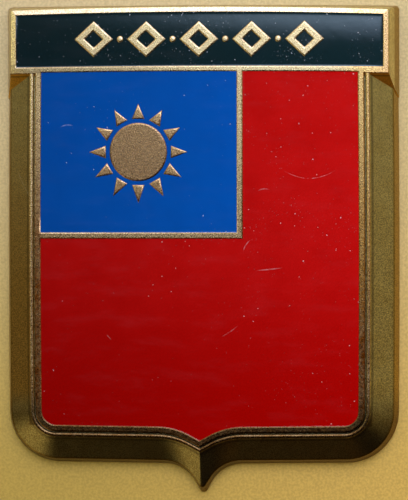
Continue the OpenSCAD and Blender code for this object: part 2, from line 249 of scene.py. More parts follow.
def arc(middle_a, middle_b, r, start, end, steps):
    """Points on a circle, from one angle to another in degrees. 0 is along the first axis, 90 along the
    second."""
    t = np.radians(np.linspace(start, end, steps))
    return np.column_stack([middle_a + r * np.cos(t), middle_b + r * np.sin(t)])


def arch(x, r):
    """Height lost at x by an arch of radius r: x squared over twice r."""
    return x ** 2 / (2 * r)


def swell(half_w, z):
    """Half width at height z of a side that lies half_w out at its widest."""
    return half_w - arch(z - FIELD_MID_Z, SIDE_SWELL_R)


def point_half(half_w, depth, slope, tip_r, z):
    """Right half of the point, from the lower edge down to the tip. A hollow arc of radius arc_r turns
    through the slope and runs into a straight flank, and a round of radius tip_r ends it."""
    tip_z = -depth - tip_r * (1 / math.cos(slope) - 1)
    half_tan = math.tan(slope / 2)
    flank = (half_w * half_tan + tip_z) / (half_tan * math.cos(slope) - math.sin(slope))
    arc_r = (half_w - flank * math.cos(slope)) / math.sin(slope)
    turn = math.degrees(slope)
    return np.concatenate([arc(half_w, z - arc_r, arc_r, 90, 90 + turn, 25),
                           arc(0, z + tip_z + tip_r / math.cos(slope), tip_r, turn - 90, -90, 9)])


print(f"the enamel is {2 * swell(FIELD_W / 2, FIELD_TOP):.2f} mm wide at the banner")

# %% The shield and the banner
def shield_half(d, top_z):
    """Right half of the shield's outline, d outside the enamel, from top_z down to the tip."""
    share = min(max((d - BEAD_OUT) / (BACK_OUT - BEAD_OUT), 0), 1)
    r, half_w, foot_z = CORNER_R + d, FIELD_W / 2 + d, FIELD_FOOT - d
    corner_z = foot_z + r
    side_x = swell(half_w, corner_z)
    z = np.linspace(top_z, corner_z, 13)[:-1]
    side = np.column_stack([swell(half_w, z), z])
    t = np.linspace(0, math.pi / 2, 25)
    lift = arch(side_x - r, FOOT_SWELL_R)
    corner = np.column_stack([side_x - r + r * np.cos(t), corner_z + lift * t / t[-1] - r * np.sin(t)])
    tip = point_half(mixed(POINT_HALF_W, TOE_HALF_W, share), mixed(POINT_H, TOE_H, share),
                     mixed(POINT_SLOPE, TOE_SLOPE, share), mixed(INNER_TIP_SHARE, 1, share) * TOE_R, foot_z)
    return np.concatenate([side, corner, tip])


def mirror_of(points):
    """The same points on the other side of the middle, in the opposite order."""
    return (points * [-1, 1])[::-1]


def shield(d, top_z):
    """The whole outline, with the tip once."""
    half = shield_half(d, top_z)
    return np.concatenate([half, mirror_of(half[:-1])])


def banner(out, up, drop, arch_r, end_points=0):
    """The banner's outline: out wider and up higher than its front, and drop lower at its skirt. end_points
    is how many points lie between the corners of each upright end."""
    # The corner grows by a fifth of the outline's spread or shrinks by all of it, and stays a little round
    r = max(BANNER_CORNER_R + min(out, 0.2 * out), 0.05)
    half_w, top_z, foot_z = BANNER_W / 2 + out, BANNER_TOP + up, FIELD_TOP - drop
    top_x = half_w - r
    x = np.linspace(-top_x, top_x, 25)[1:-1]
    top = np.column_stack([x, top_z - arch(x, arch_r)])
    corner = arc(top_x, top_z - arch(top_x, arch_r) - r, r, 90, 0, 9)
    x = np.linspace(half_w, -half_w, 25)
    foot = np.column_stack([x, foot_z - arch(x, BANNER_FOOT_R)])
    z = np.linspace(corner[-1, 1], foot[0, 1], end_points + 2)[1:-1]
    end = np.column_stack([np.full(end_points, half_w), z])
    return np.concatenate([top, corner, end, foot, mirror_of(end), mirror_of(corner)])


print(f"the shield's outline has {len(shield(0, FIELD_TOP))} points, the banner's "
      f"{len(banner(0, 0, 0, BANNER_ARCH_R))}")

# %% The three cells
def red_cell(g):
    """The L-shaped cell, inset by g: along the banner, down the right side, round the point, up to the
    canton's wall, and back along that wall."""
    top_z, wall_x, wall_z = FIELD_TOP - g, CANTON_RIGHT + CELL_WALL_W + g, CANTON_FOOT - CELL_WALL_W - g
    side_x = swell(FIELD_W / 2 - g, top_z)
    x = np.linspace(wall_x, side_x, 9)[:-1]
    top = np.column_stack([x, top_z - arch(x, BANNER_FOOT_R)])
    right = shield_half(-g, top_z - arch(side_x, BANNER_FOOT_R))
    left = mirror_of(shield_half(-g, wall_z)[:-1])
    return np.concatenate([top, right, left, [[wall_x, wall_z]]])


def blue_cell(g):
    """The canton's cell, inset by g."""
    top_z, wall_x, wall_z = FIELD_TOP - g, CANTON_RIGHT - g, CANTON_FOOT + g
    side_x = swell(FIELD_W / 2 - g, top_z)
    x = np.linspace(-side_x, wall_x, 13)
    top = np.column_stack([x, top_z - arch(x, BANNER_FOOT_R)])
    z = np.linspace(wall_z, top_z, 9)[:-1]
    left = np.column_stack([-swell(FIELD_W / 2 - g, z), z])
    return np.concatenate([top, [[wall_x, wall_z]], left])


def black_cell(g):
    """The banner's cell, inset by g."""
    inner = BANNER_RIM_W + g
    return banner(-inner, -inner, -inner, BANNER_ARCH_R, 15)


print("points round the cells:", [len(cell(0)) for cell in (black_cell, blue_cell, red_cell)])

# %% [markdown]
# ## Raised figures
# Inside the blue cell stand a disc and twelve separate rays, and on the banner a row of lozenges with
# pellets between them. They are small closed solids with rounded upper edges, sunk a little into the cell
# floor. Their outlines have sharp corners, so they can be moved outwards edge by edge.

# %% Outlines of the figures
SUN_R, RAY_COUNT, RAY_FOOT_R, RAY_L, RAY_MORE, RAY_HALF_W = 4.85, 12, 5.52, 2.5, 0.5, 1.04
LOZENGE_COUNT, LOZENGE_PITCH, LOZENGE_W, LOZENGE_H, LINE_W, PELLET_R = 5, 8.9, 6.6, 6.0, 1.2, 0.55


def grown(outline, g):
    """The outline moved outwards by g. Each point moves along the sum of its two edges' normals, divided by
    one plus their dot product, so every edge keeps its distance."""
    ahead = np.roll(outline, -1, axis=0) - outline
    ahead /= np.linalg.norm(ahead, axis=1, keepdims=True)
    area = np.sum(outline[:, 0] * np.roll(outline[:, 1], -1) - outline[:, 1] * np.roll(outline[:, 0], -1))
    normal = np.column_stack([ahead[:, 1], -ahead[:, 0]]) * np.sign(area)
    before = np.roll(normal, 1, axis=0)
    return outline + g * (normal + before) / (1 + np.sum(normal * before, axis=1, keepdims=True))


def circle(x, z, r, n=96):
    """n points on a circle."""
    t = np.arange(n) / n * 2 * math.pi
    return np.column_stack([x + r * np.cos(t), z + r * np.sin(t)])


def lozenge(x, w, h):
    """Four corners, with two points on each side so that the sides can be worn."""
    corners = np.array([[w / 2, 0], [0, h / 2], [-w / 2, 0], [0, -h / 2]])
    share = np.arange(3)[None, :, None] / 3
    points = corners[:, None, :] * (1 - share) + np.roll(corners, -1, axis=0)[:, None, :] * share
    return points.reshape(-1, 2) + [x, BANNER_MID]


def ray(number):
    """A pointed triangle that stands on the circle of the rays' feet, turned round the sun. The top ray has
    length RAY_L, and the rays grow towards the bottom one, which is RAY_MORE longer."""
    turn = 2 * math.pi / RAY_COUNT * number
    tip = RAY_FOOT_R + RAY_L + RAY_MORE * (1 - math.cos(turn)) / 2
    points = np.array([[-RAY_HALF_W, RAY_FOOT_R], [RAY_HALF_W, RAY_FOOT_R], [0, tip]])
    return points @ [[math.cos(turn), math.sin(turn)], [-math.sin(turn), math.cos(turn)]] + [SUN_X, SUN_Z]


SUN = circle(SUN_X, SUN_Z, SUN_R)
LOZENGE_X = (np.arange(LOZENGE_COUNT) - (LOZENGE_COUNT - 1) / 2) * LOZENGE_PITCH
PELLET_X = (LOZENGE_X[1:] + LOZENGE_X[:-1]) / 2
INNER_W = LOZENGE_W - LINE_W * math.hypot(LOZENGE_W, LOZENGE_H) / LOZENGE_H * 2
RAYS = [ray(number) for number in range(RAY_COUNT)]
PELLETS = [circle(x, BANNER_MID, PELLET_R, 24) for x in PELLET_X]
LOZENGES = [lozenge(x, LOZENGE_W, LOZENGE_H) for x in LOZENGE_X]
EYES = [lozenge(x, INNER_W, INNER_W * LOZENGE_H / LOZENGE_W) for x in LOZENGE_X]
print(f"{len(RAYS)} rays, {len(LOZENGES)} lozenges {LOZENGE_W} x {LOZENGE_H} mm, {len(PELLETS)} pellets")


# %% Solids from an outline
# A cutter runs PAST the face that it opens, figures are SUNK into the floor, and faces that would lie in
# one plane are parted by a HAIR
PAST, SUNK, HAIR = 1.0, 0.2, 0.001


def at_depth(outline, y):
    """An outline of X and Z as points in space, at depth y."""
    return np.column_stack([outline[:, 0], np.broadcast_to(y, len(outline)), outline[:, 1]])


# A worn edge seen from the wall: first a slope of about 30 degrees, then flatter and flatter up to the top
EDGE_IN, EDGE_DOWN = np.array([0, 0.14, 0.19, 0.25]), np.array([0.1, 0.022, 0.006, 0])


def raised(outline):
    """A solid that stands on the cell floor and has a worn upper edge all round."""
    top = [at_depth(grown(outline, -inward), FRONT + down) for inward, down in zip(EDGE_IN, EDGE_DOWN)]
    return skin([at_depth(outline, CELL_FLOOR + SUNK), *top])


def opening(cell):
    """A cutter for a sunk cell. It widens towards the top, so that the metal's edge is left worn. It sits a
    hair higher than the metal's face, which keeps the cut clean."""
    edge = [at_depth(cell(-inward), FRONT + down - HAIR) for inward, down in zip(EDGE_IN, EDGE_DOWN)]
    return skin([at_depth(cell(0), CELL_FLOOR), *edge, at_depth(cell(-EDGE_IN[-1]), FRONT - PAST)])


print(f"a raised disc has {len(raised(SUN)[1])} faces, the blue cell's cutter {len(opening(blue_cell)[1])}")

# %% [markdown]
# ## The struck body
# The border's section, from the back rim outwards and over to the field, is a drafted wall, a flat sloping
# band, a half-round bead, a narrow groove and a flat-topped wall. It is carried round the outline by giving
# each of its points a distance d from the enamel and a depth y. The banner is a second skin. Both are
# joined, the hollow and the three cells are cut out, and the figures are set in.

# %% The border's section
GROOVE_Y, BEAD_Y, BAND_TOP_Y, BAND_Y = -3.95, -4.4, -4.1, -1.9
WALL_EDGE_R, BAND_EDGE_R = 0.2, 0.16

band_angle = math.degrees(math.atan2(BAND_Y - BAND_TOP_Y, BAND_OUT - BEAD_OUT))
bead_r = (BEAD_OUT - BEAD_IN) / 2
bead_t = np.radians(np.linspace(0, 180, 13))
# The bead rises from the band on its outer side and from the groove on its inner side. The root makes its
# crown broad and its flanks steep.
bead_foot = np.where(bead_t < math.pi / 2, BAND_TOP_Y, GROOVE_Y)
bead = np.column_stack([BEAD_OUT - bead_r + bead_r * np.cos(bead_t),
                        bead_foot - np.sqrt(np.abs(np.sin(bead_t))) * (bead_foot - BEAD_Y)])
border = np.concatenate([
    arc(BACK_OUT - WALL_EDGE_R, -WALL_EDGE_R, WALL_EDGE_R, 90, 15, 5),
    arc(BAND_OUT - BAND_EDGE_R, BAND_Y + BAND_EDGE_R, BAND_EDGE_R, 10, band_angle - 90, 5),
    bead,
    # The groove's floor, which lies a touch deeper, and the foot of the wall inside it
    [[BEAD_IN - 0.02, GROOVE_Y + 0.01], [RIM_OUT + 0.03, GROOVE_Y + 0.01], [RIM_OUT, GROOVE_Y - 0.03]],
    np.column_stack([RIM_OUT - EDGE_IN, FRONT + EDGE_DOWN]),
])
border_shell = skin([at_depth(shield(d, BANNER_MID), y) for d, y in border])
print(f"border section: {len(border)} points, round {len(shield(0, BANNER_MID))} points of outline")

# %% The banner's block
# The rim's face leans back by BANNER_LEAN from the enamel to the outer edge, at the top and both ends
BANNER_LEAN, BANNER_EDGE_R, LEAN_W = 0.16, 0.14, 0.85
BACK_ARCH_R, WALL_DRAFT, SKIRT, WALL_T = 2400, 0.5, 1.05, 1.35
BAND_SPREAD = FIELD_W / 2 + BAND_OUT - BANNER_W / 2
SKIRT_DROP = SKIRT * (BAND_Y - FRONT)


def banner_ring(inset, low):
    """The front's outline, inset, at a depth low behind the front plane. The lower edge doesn't lean."""
    outline = banner(-inset, -inset, 0, BANNER_ARCH_R)
    leans = outline[:, 1] > FIELD_TOP + 1e-6
    return at_depth(outline, FRONT + np.where(leans, low, 0))


t = np.linspace(0, math.pi / 2, 5)
edge = [banner_ring(BANNER_EDGE_R * (1 - c), BANNER_LEAN + BANNER_EDGE_R * (1 - s))
        for c, s in zip(np.cos(t), np.sin(t))]
back_out, back_drop = BAND_SPREAD + WALL_DRAFT, SKIRT_DROP + SKIRT * WALL_T
banner_shell = skin([
    at_depth(banner(back_out - WALL_EDGE_R, TOP_DRAFT - WALL_EDGE_R, back_drop - WALL_EDGE_R,
                    BACK_ARCH_R), 0),
    at_depth(banner(back_out, TOP_DRAFT, back_drop, BACK_ARCH_R), -WALL_EDGE_R),
    at_depth(banner(BAND_SPREAD, TOP_DRAFT / 2, SKIRT_DROP, (BANNER_ARCH_R + BACK_ARCH_R) / 2), BAND_Y),
    *edge,
    banner_ring(LEAN_W, 0),
])
print(f"banner: {len(banner_shell[0])} points, its skirt drops {SKIRT_DROP:.2f} mm below the field's top")

# %% The hollow in the back
# Its wall is straight down to STRAIGHT_D, then slopes to the floor, which begins FLOOR_OUT outside the
# enamel. The small steps beside both break the corners.
HOLLOW_EDGE_R, STRAIGHT_D, FLOOR_OUT = 0.25, 1.2, 1.6
top_z = BACK_TOP - WALL_T
side_d = BACK_OUT - WALL_T
hollow = np.concatenate([
    [[side_d + HOLLOW_EDGE_R, PAST]],
    arc(side_d + HOLLOW_EDGE_R, -HOLLOW_EDGE_R, -HOLLOW_EDGE_R, -78, 0, 5),
    [[side_d - WALL_DRAFT, -STRAIGHT_D], [side_d - WALL_DRAFT - 0.25, -STRAIGHT_D - 0.22],
     [FLOOR_OUT + 0.45, HOLLOW_FLOOR + 0.16], [FLOOR_OUT, HOLLOW_FLOOR + 0.03],
     [FLOOR_OUT - 0.5, HOLLOW_FLOOR]],
])
hollow_shell = skin([at_depth(shield(d, top_z + d - side_d), y) for d, y in hollow])
print(f"hollow: {-HOLLOW_FLOOR:.2f} mm deep, walls {WALL_T} mm")

# %% Joining it all
cells = gathered([opening(cell) for cell in (black_cell, blue_cell, red_cell)])
figures = gathered([raised(outline) for outline in [SUN, *RAYS, *LOZENGES, *PELLETS]])
eyes = gathered([opening(lambda g, o=outline: grown(o, -g)) for outline in EYES])
struck = cut(add_object("struck_brass", border_shell), [
    ("UNION", banner_shell), ("DIFFERENCE", hollow_shell), ("DIFFERENCE", cells), ("UNION", figures),
    ("DIFFERENCE", eyes)])
smoothed(struck)

# %% [markdown]
# ## Enamel
# Melted enamel creeps a little up the metal round it. Its face therefore stands CREEP higher along the
# walls, and sinks towards the middle as exp(-distance / CREEP_W). The banner's enamel was stoned with a
# slight crown from its lower to its upper edge, so that it mirrors bright sky along the top and dark ground
# below. The enamel is cut round the raised figures, and small plugs of it fill the lozenges' eyes.

# %% The three enamels
# A GLAZE_GAP parts enamel and metal down in the cell, and OVERLAP lets the face run in under the metal's
# worn edge
GLAZE_GAP, OVERLAP, LIFT, CREEP, CREEP_W = 0.02, 0.05, 0.02, 0.025, 0.15
CROWN_R, CROWN_HALF = 150, BANNER_H / 2 - BANNER_RIM_W


def prism(outline, y0, y1):
    """A straight solid between two depths."""
    return skin([at_depth(outline, y0), at_depth(outline, y1)])


def crown(z):
    """Height of the crown above the cell's edges: what an arch of radius CROWN_R has lost at the edge, less
    what it has lost at z."""
    return arch(CROWN_HALF, CROWN_R) - np.minimum(arch(z - BANNER_MID, CROWN_R), arch(CROWN_HALF, CROWN_R))


def poured(cell, crowned=False):
    """Enamel in a cell: walls, then rings that follow the creep. The first ring lies under the metal's worn
    edge. A crowned face needs rings all the way in."""
    insets = np.array([0, 0.05, 0.12, 0.22, 0.36, 0.6])
    if crowned:
        insets = np.append(insets, np.linspace(insets[-1], CROWN_HALF - 0.1, 9)[1:])
    rings = [at_depth(cell(GLAZE_GAP), CELL_FLOOR)]
    for inset in insets:
        outline = cell(inset - OVERLAP)
        rise = CREEP * math.exp(-inset / CREEP_W) + crowned * crown(outline[:, 1])
        rings.append(at_depth(outline, GLAZE_FACE + LIFT - rise))
    return skin(rings)


def holes(outlines):
    """Cutters that go through the enamel round raised figures."""
    return gathered([prism(grown(outline, GLAZE_GAP), CELL_FLOOR + PAST, FRONT - PAST)
                     for outline in outlines])


red_glaze = add_object("red_glaze", poured(red_cell))
blue_glaze = cut(add_object("blue_glaze", poured(blue_cell)),
                 [("DIFFERENCE", holes([SUN, *RAYS]))])
black_glaze = cut(add_object("black_glaze", poured(black_cell, crowned=True)), [
    ("DIFFERENCE", holes([*LOZENGES, *PELLETS])),
    ("UNION", gathered([prism(grown(eye, -GLAZE_GAP), CELL_FLOOR, GLAZE_FACE + LIFT - crown(BANNER_MID))
                        for eye in EYES]))])
smoothed(black_glaze)
print("enamel faces: red", len(red_glaze.data.polygons), "blue", len(blue_glaze.data.polygons))

# %% [markdown]
# ## Turned pieces
# Studs, nuts, washers and solder are paths of radius and depth carried round a stud's middle. A point lies
# at x = r sin t, z = r cos t, so t turns from up to the viewer's right, which is a positive turn about +Y.
#
# The thread is a radius that depends on one number, the phase y / pitch - t / 2 pi. A nut that turns by t
# and moves by pitch t / 2 pi keeps its phase, so the two threads stay in mesh in every pose. Blender's
# Screw modifier winds a thread too, but couldn't fade this one in at its start.

# %% Carrying a path round
TURN_STEPS = 64
SIDES = {"upper": 1, "lower": -1}
fixings = {}


def turned(radii, depths, side, closed=False, n=TURN_STEPS):
    """Skin of a path round the stud on that side. Radii and depths are arrays of k, or of k by n where they
    change with the angle."""
    t = np.arange(n) / n * 2 * math.pi
    radii = np.array(radii, float).reshape(len(radii), -1) * np.ones(n)
    depths = np.array(depths, float).reshape(len(depths), -1) * np.ones(n)
    return skin(np.stack([radii * np.sin(t), depths, radii * np.cos(t) + side * STUD_Z], axis=-1), closed)


print(f"the studs stand {STUD_Z:.2f} mm above and below the middle")

# %% The thread, M4 with 0.7 mm to a turn
PITCH, CREST_R, ROOT_R, CREST_SHARE, FLANK_SHARE, STEPS_PER_TURN = 0.7, 1.98, 1.56, 0.18, 0.6, 16


def thread_radius(depths, n=TURN_STEPS):
    """Radius of the thread at each depth and angle: flat crest and root, joined by straight flanks."""
    t = np.arange(n) / n
    phase = (np.asarray(depths)[:, None] / PITCH - t) % 1
    from_crest = np.abs(phase - 0.5) * 2
    return CREST_R - (CREST_R - ROOT_R) * np.clip((from_crest - CREST_SHARE) / FLANK_SHARE, 0, 1)


def threaded(y0, y1):
    """Depths from y0 to y1, close enough together for a thread."""
    return np.linspace(y0, y1, int(abs(y1 - y0) / PITCH * STEPS_PER_TURN) + 1)


print(f"thread between radii {ROOT_R} and {CREST_R} mm, {STEPS_PER_TURN} rings to a turn")

# %% [markdown]
# ## Studs
# A stud is soldered to the floor of the hollow by its round foot, and its threaded end takes the washers
# and the nut. It is one turned path: foot, rounded neck, plain shank, and a thread that starts softly and
# ends in a chamfer.

# %% Studs, with a round foot and a threaded end
FOOT_R, FOOT_T, FOOT_EDGE_R, NECK_R, SHANK_R, SHANK_END = 4.0, 0.6, 0.12, 0.4, 1.99, 5.6
RUN_IN, END_L, END_SLOPE, END_R, END_STEP = 0.6, 0.45, 1.1, 1.2, 0.06


def stud(name, side):
    foot_y = HOLLOW_FLOOR + FOOT_T
    path = np.concatenate([
        [[FOOT_R, HOLLOW_FLOOR]],
        arc(FOOT_R - FOOT_EDGE_R, foot_y - FOOT_EDGE_R, FOOT_EDGE_R, 0, 90, 5),
        arc(SHANK_R + NECK_R, foot_y + NECK_R, NECK_R, 270, 180, 5),
        [[SHANK_R, SHANK_END - 0.05]]])
    y = threaded(SHANK_END, STUD_END)
    begun = np.clip((y - SHANK_END) / RUN_IN, 0, 1)[:, None]
    radii = SHANK_R + (thread_radius(y) - SHANK_R) * begun
    chamfer = (CREST_R - END_STEP + (STUD_END - END_L - y) * END_SLOPE).clip(END_R)
    radii = np.concatenate([path[:, :1] * np.ones(TURN_STEPS), np.minimum(radii, chamfer[:, None])])
    return smoothed(add_object(name, turned(radii, np.concatenate([path[:, 1], y]), side)), crease=40)


for name, side in SIDES.items():
    fixings[f"{name}_stud"] = stud(f"{name}_threaded_stud", side)

# %% [markdown]
# ## Nuts
# A nut is a hexagon whose corners are bevelled on both faces, round a threaded bore. The radius of a
# hexagon at angle t is its half width across the flats over the cosine of the angle to the nearest flat, so
# the nut is one turned path too, and its thread can follow the stud's exactly.

# %% Hexagon nuts, threaded inside
FACE_IN, NUT_BEVEL, CORNER_OFF, THREAD_PLAY, BORE_MOUTH_R = 0.12, math.radians(28), 0.04, 0.06, 2.2


def nut(name, side):
    """The path runs through the bore from back to front, then over the front face, the flats and the back
    face."""
    (x0, y0, z0), (x1, y1, z1) = box_mm("upper_nut")
    n = TURN_STEPS * 3 // 2
    t = np.arange(n) / n * 2 * math.pi
    flat_r = (z1 - z0) / 2
    hexagon = flat_r / np.cos((t - math.pi / 2) % (math.pi / 3) - math.pi / 6)
    hexagon = np.minimum(hexagon, (x1 - x0) / 2 - CORNER_OFF)
    face = np.full(n, flat_r - FACE_IN)
    bevel = np.maximum(hexagon - face, 0) * math.tan(NUT_BEVEL)
    y = threaded(y1, y0)
    to_face = np.minimum(y - y0, y1 - y)[:, None]
    bore = np.maximum(thread_radius(y, n) + THREAD_PLAY, BORE_MOUTH_R - to_face)
    radii = np.concatenate([bore, [face, hexagon, hexagon, face]])
    sides = [np.full(n, y0), y0 + bevel, y1 - bevel, np.full(n, y1)]
    depths = np.concatenate([y[:, None] * np.ones(n), sides])
    return smoothed(add_object(name, turned(radii, depths, side, closed=True, n=n)), crease=25)


for name, side in SIDES.items():
    fixings[f"{name}_nut"] = nut(f"{name}_hexagon_nut", side)

# %% [markdown]
# ## Washers
# A flat washer spreads the nut's force over the strap, and a spring washer, a ring cut open, keeps the nut
# from shaking loose. Both are a small rounded rectangle carried round the stud. The spring washer's ends
# are slanted, and it is flat, as when it is tightened.

# %% Washers
WASHER_BORE_R = 2.15


def section(low, high, r, steps=4):
    """A loop round a rectangle with rounded corners, given by two opposite corners."""
    (a0, b0), (a1, b1) = low, high
    middles = [(a1 - r, b1 - r), (a0 + r, b1 - r), (a0 + r, b0 + r), (a1 - r, b0 + r)]
    return np.concatenate([arc(a, b, r, 90 * i, 90 * i + 90, steps) for i, (a, b) in enumerate(middles)])


def washer(name, cad_node, side, edge_r, split=0.0, slant=0.0, n=97):
    """A ring of rounded section. With a split it is open on the viewer's right, and its ends are
    slanted."""
    low, high = box_mm(cad_node)
    outer_r = (high[2] - low[2]) / 2
    loop = section((WASHER_BORE_R, low[1]), (outer_r, high[1]), edge_r)
    half = split / (outer_r + WASHER_BORE_R)
    t = math.pi / 2 + np.linspace(half, 2 * math.pi - half, n)[:, None]
    if split:
        t = t + slant * (loop[None, :, 1] - (low[1] + high[1]) / 2) * np.ones((n, 1))
    else:
        t = t[:-1] * np.ones(len(loop))
    rings = np.stack([loop[:, 0] * np.sin(t), loop[:, 1] * np.ones_like(t),
                      loop[:, 0] * np.cos(t) + side * STUD_Z], axis=-1)
    return smoothed(add_object(name, skin(rings, closed=not split)), crease=35)


for name, side in SIDES.items():
    flat, spring = f"{name}_flat_washer", f"{name}_spring_washer"
    fixings[flat] = washer(f"{name}_flat_ring", flat, side, edge_r=0.12)
    fixings[spring] = washer(f"{name}_spring_ring", spring, side, edge_r=0.1, split=0.5, slant=0.2)

# %% [markdown]
# ## Solder
# Soft solder, drawn in between the foot and the floor, sets as a hollow fillet. It is never quite even, so
# its width and height change slowly round the foot. Sines of whole numbers of turns do that and still close
# the ring.

# %% Solder fillets, a little uneven
FILLET_W, FILLET_LESS_W, FILLET_UNDER, FILLET_LESS_H, HOLLOWED = 0.9, 0.2, 0.03, 0.12, 1.9


def solder(name, side, phase):
    """Concave fillet from the foot's rim to the floor."""
    t = np.arange(TURN_STEPS) / TURN_STEPS * 2 * math.pi
    wobble = 0.5 + 0.25 * np.sin(2 * t + phase) + 0.15 * np.sin(5 * t + 2 * phase) + 0.1 * np.sin(9 * t)
    width = FILLET_W - FILLET_LESS_W * wobble
    height = FOOT_T - FILLET_UNDER - FILLET_LESS_H * (1 - wobble)
    share = np.linspace(0, 1, 9)[:, None]
    radii = np.concatenate([FOOT_R + width * share, [np.full(TURN_STEPS, FOOT_R)]])
    depths = HOLLOW_FLOOR + np.concatenate([height * (1 - share) ** HOLLOWED, [np.zeros(TURN_STEPS)]])
    return smoothed(add_object(name, turned(radii, depths, side, closed=True)), crease=50)


for (name, side), phase in zip(SIDES.items(), (0.4, 2.1)):
    fixings[f"{name}_solder"] = solder(f"{name}_solder_fillet", side, phase)

# %% [markdown]
# ## Strap and pads
# The strap is a stadium, two half circles joined by straight sides, with rounded edges. Its hole and slot
# are also stadiums, so one outline function makes all three. The pads are moulded rubber blocks with grip
# grooves across the face that presses on the grille. The grooves are cut out, since each is deeper than a
# bump could show.

# %% The strap
STRAP_W, STRAP_HALF_L, HOLE_R, SLOT_EXTRA, STRAP_EDGE_R, HOLE_EDGE_R = 12, 24.5, 2.3, 4, 0.22, 0.12
STRAP_Y = [corner[1] for corner in box_mm("clamp_bar")]


def stadium(r, half_l, z=0, steps=33):
    """Half circles of radius r, half_l above and below height z."""
    return np.concatenate([arc(0, z + half_l, r, 0, 180, steps), arc(0, z - half_l, r, 180, 360, steps)])


def edged(outline_at, y0, y1, r, steps=4):
    """A plate between two depths with quarter-round edges. With a negative r it is a cutter that flares
    instead."""
    t = np.linspace(0, math.pi / 2 if r > 0 else math.radians(80), steps)
    g, d = r * (np.cos(t) - 1), abs(r) * (1 - np.sin(t))
    profile = [*zip(g[::-1], y0 + d[::-1]), *zip(g, y1 - d)]
    if r < 0:
        profile = [(g[-1], y0 - PAST), *profile, (g[-1], y1 + PAST)]
    return skin([at_depth(outline_at(offset), y) for offset, y in profile])


plate = edged(lambda g: stadium(STRAP_W / 2 + g, STRAP_HALF_L), *STRAP_Y, STRAP_EDGE_R)
fixings["clamp_bar"] = smoothed(cut(add_object("backing_strap", plate), [
    ("DIFFERENCE", edged(lambda g: circle(0, STUD_Z, HOLE_R + g, 64), *STRAP_Y, -HOLE_EDGE_R)),
    ("DIFFERENCE", edged(lambda g: stadium(HOLE_R + g, SLOT_EXTRA / 2, -STUD_Z), *STRAP_Y, -HOLE_EDGE_R))]))

# %% The rubber pads
PAD_CORNER_R, PAD_EDGE_R, GRIP_R, GRIP_OUT, GRIP_PITCH, GRIP_COUNT = 0.7, 0.28, 0.45, 0.1, 1.8, 5


def pad(name, cad_node):
    """A block with rounded corners and edges, and round grooves in its front face. Their middles lie
    GRIP_OUT in front of it."""
    low, high = box_mm(cad_node)
    block = edged(lambda g: section(low[::2] - g, high[::2] + g, PAD_CORNER_R + g, steps=6),
                  low[1], high[1], PAD_EDGE_R)
    heights = (low[2] + high[2]) / 2 + (np.arange(GRIP_COUNT) - (GRIP_COUNT - 1) / 2) * GRIP_PITCH
    rods = [circle(low[1] - GRIP_OUT, z, GRIP_R, 16) for z in heights]
    ends = low[0] - PAST, high[0] + PAST
    grooves = [skin([np.column_stack([np.full(len(rod), x), rod]) for x in ends]) for rod in rods]
    return smoothed(cut(add_object(name, block), [("DIFFERENCE", gathered(grooves))]))


for name in SIDES:
    fixings[f"{name}_pad"] = pad(f"{name}_grip_pad", f"{name}_pad")

# %% [markdown]
# ## Finishes
# Every finish is worked out from the place on the object, in millimetres, so nothing has to be unwrapped.
# Effects that several finishes share, such as specks and grime, are node groups with inputs for their scale
# and strength. They give only masks and normals, and each material decides what to do with those. The nodes
# could be drawn by hand, but written out, a finish can be read as a formula.

# %% Values that a shader works out
class Value:
    """What one shader node puts out. Arithmetic with it adds a Math node, and the other side may be a
    number."""

    def __init__(self, socket):
        self.socket, self.tree = socket, socket.id_data

    def maths(self, operation, *others):
        return node(self.tree, "Math", dict(enumerate([self, *others])), operation=operation)

    def beside(self, name):
        """Another output of the same node."""
        return Value(self.socket.node.outputs[name])

    def __add__(self, other):
        return self.maths("ADD", other)

    def __sub__(self, other):
        return self.maths("SUBTRACT", other)

    def __rsub__(self, other):
        return node(self.tree, "Math", {0: other, 1: self}, operation="SUBTRACT")

    def __mul__(self, other):
        return self.maths("MULTIPLY", other)

    def __truediv__(self, other):
        return self.maths("DIVIDE", other)

    def __abs__(self):
        return self.maths("ABSOLUTE")


# %% Nodes and their inputs
def put(made, key, value):
    """Joins a value to a node's input, or sets a constant there. A constant colour gets its fourth number
    here."""
    socket = made.inputs[key]
    if isinstance(value, Value):
        value.tree.links.new(value.socket, socket)
    else:
        socket.default_value = (*value, 1) if socket.type == "RGBA" else value


def node(tree, kind, inputs, out=0, **settings):
    """Adds a shader node and returns one of its outputs. Inputs and the output go by name or number."""
    made = tree.nodes.new("ShaderNode" + kind)
    for key, value in settings.items():
        setattr(made, key, value)
    for key, value in inputs.items():
        put(made, key, value)
    return Value(made.outputs[out])


# %% Steps that finishes are made of
def either(a, b):
    """The larger of two masks: what is in one or the other."""
    return a.maths("MAXIMUM", b)


def ranged(value, low, high, to_low=0.0, to_high=1.0):
    """A smooth step from to_low at low to to_high at high."""
    names = ["Value", "From Min", "From Max", "To Min", "To Max"]
    return node(value.tree, "MapRange", dict(zip(names, [value, low, high, to_low, to_high])),
                interpolation_type="SMOOTHSTEP")


def layered(colour, *layers):
    """A colour under layers. Each layer is a mask, 0 where it is absent and 1 where it covers, and its
    colour."""
    for share, layer in layers:
        colour = node(share.tree, "Mix", {0: share, 6: colour, 7: layer}, 2, data_type="RGBA")
    return colour


# %% Places and colours
def vectors(operation, first, *others, out=0):
    return node(first.tree, "VectorMath", dict(enumerate([first, *others])), out, operation=operation)


def scaled(value, by):
    """A colour made brighter or darker, or a vector made longer or shorter."""
    return node(value.tree, "VectorMath", {0: value, "Scale": by}, operation="SCALE")


def distance(at, middle):
    return vectors("DISTANCE", at, middle, out="Value")


def spun(at, angle):
    """A place turned about Y."""
    return node(at.tree, "VectorRotate", {"Vector": at, "Axis": (0, 1, 0), "Angle": angle})


def parts(value, kind="XYZ"):
    """The three numbers of a vector or colour."""
    first = node(value.tree, "Separate" + kind, {0: value})
    return [Value(socket) for socket in first.socket.node.outputs]


